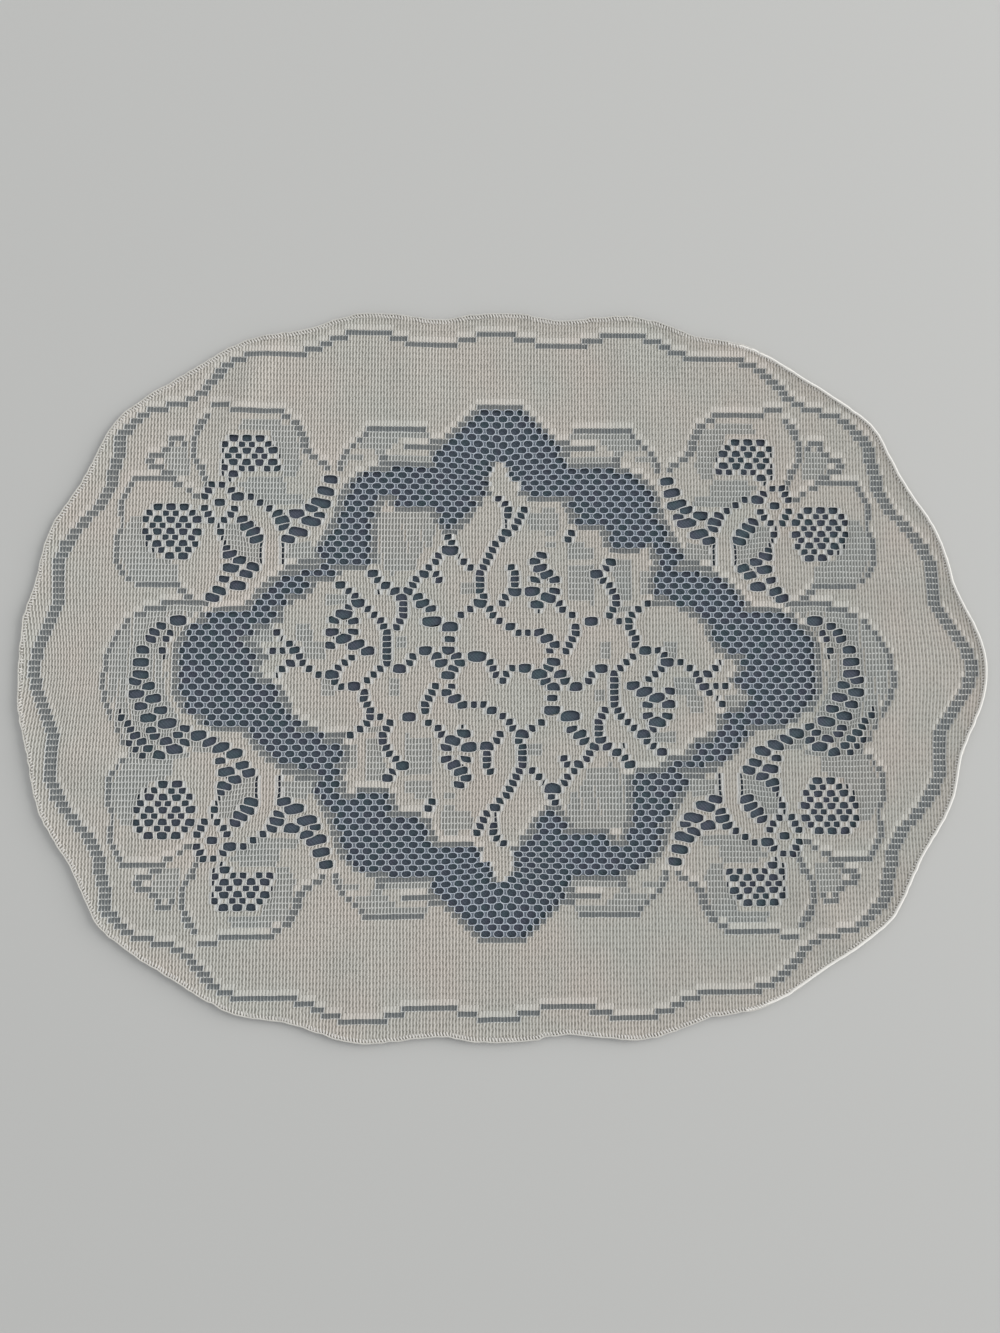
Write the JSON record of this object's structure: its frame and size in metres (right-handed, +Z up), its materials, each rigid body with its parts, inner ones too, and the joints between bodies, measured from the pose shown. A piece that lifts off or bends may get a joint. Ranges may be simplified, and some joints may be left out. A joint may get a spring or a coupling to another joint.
{
  "type": "lace doily",
  "caption": "Scalloped oval table doily of machine-knit curtain lace with a floral net medallion, over a plain dark cloth backing.",
  "frame": {"origin": "middle of the doily, on the surface it lies on", "axes": "+X along its length to the right, +Y across it to the far side, +Z up"},
  "size_m": [0.4264, 0.3214, 0.0035],
  "materials": {
    "lace_cotton": "unbleached warp-knit cotton lace, matt, raised vertical ribs",
    "backing_cloth": "slate-blue plain woven cloth, matt"
  },
  "bodies": {
    "root": {"lace": "lace_cotton", "backing": "backing_cloth"}
  },
  "joints": []
}
